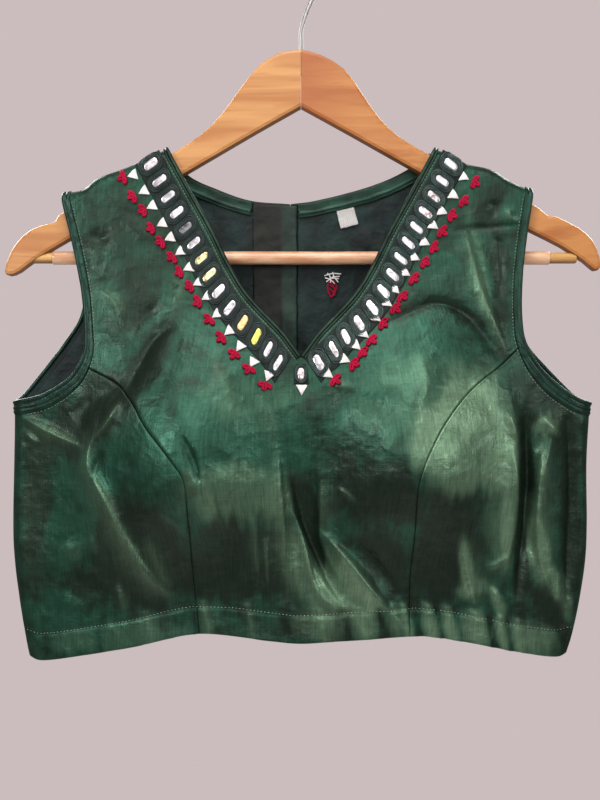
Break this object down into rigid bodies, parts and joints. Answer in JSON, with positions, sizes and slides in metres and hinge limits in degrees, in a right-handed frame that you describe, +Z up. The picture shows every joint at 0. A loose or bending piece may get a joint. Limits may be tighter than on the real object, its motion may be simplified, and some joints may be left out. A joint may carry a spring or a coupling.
{
  "type": "choli blouse on a wooden hanger",
  "caption": "Sleeveless cropped choli blouse with a V neck edged in mirror work, padded cups and princess seams, on a wooden hanger with a trouser bar and a steel hook.",
  "frame": {"origin": "the inside top of the hanger's hook, where it hangs on a rail", "axes": "+X to the viewer's right as the front is seen, the front of the blouse faces -Y, +Z up; the hanger lies in the X-Z plane"},
  "size_m": [0.4422, 0.0737, 0.5338],
  "materials": {
    "satin": "dark green silk satin with a metallic sheen",
    "lining": "dark blue-green plain woven lining",
    "thread": "dark green embroidery thread in raised rows",
    "thread_white": "white embroidery thread",
    "thread_red": "crimson embroidery thread",
    "mirror": "small flat glass mirrors",
    "label": "white woven tape, left blank",
    "wood": "clear-varnished pale wood",
    "sleeve": "clear tube over the bar",
    "steel": "plain bright wire"
  },
  "bodies": {
    "root": {"armhole_band_left_back": "satin", "armhole_band_left_front": "satin", "armhole_band_right_back": "satin", "armhole_band_right_front": "satin", "back_left": "satin", "back_lining_left": "lining", "back_lining_right": "lining", "back_neck_facing_left": "satin", "back_neck_facing_right": "satin", "back_placket_strip": "satin", "back_right": "satin", "bar_sleeve": "sleeve", "front_centre": "satin", "front_side_left": "satin", "front_side_right": "satin", "hanger_hook": "steel", "hanger_left_arm": "wood", "hanger_right_arm": "wood", "mirror_centre": "mirror", "mirror_frame_centre": "thread", "mirror_frames_left": "thread", "mirror_frames_right": "thread", "mirror_left_01": "mirror", "mirror_left_02": "mirror", "mirror_left_03": "mirror", "mirror_left_04": "mirror", "mirror_left_05": "mirror", "mirror_left_06": "mirror", "mirror_left_07": "mirror", "mirror_left_08": "mirror", "mirror_left_09": "mirror", "mirror_left_10": "mirror", "mirror_left_11": "mirror", "mirror_left_12": "mirror", "mirror_left_13": "mirror", "mirror_left_14": "mirror", "mirror_right_01": "mirror", "mirror_right_02": "mirror", "mirror_right_03": "mirror", "mirror_right_04": "mirror", "mirror_right_05": "mirror", "mirror_right_06": "mirror", "mirror_right_07": "mirror", "mirror_right_08": "mirror", "mirror_right_09": "mirror", "mirror_right_10": "mirror", "mirror_right_11": "mirror", "mirror_right_12": "mirror", "mirror_right_13": "mirror", "mirror_right_14": "mirror", "neck_binding_left": "satin", "neck_binding_right": "satin", "size_label": "label", "trouser_bar": "wood"}
  },
  "joints": []
}
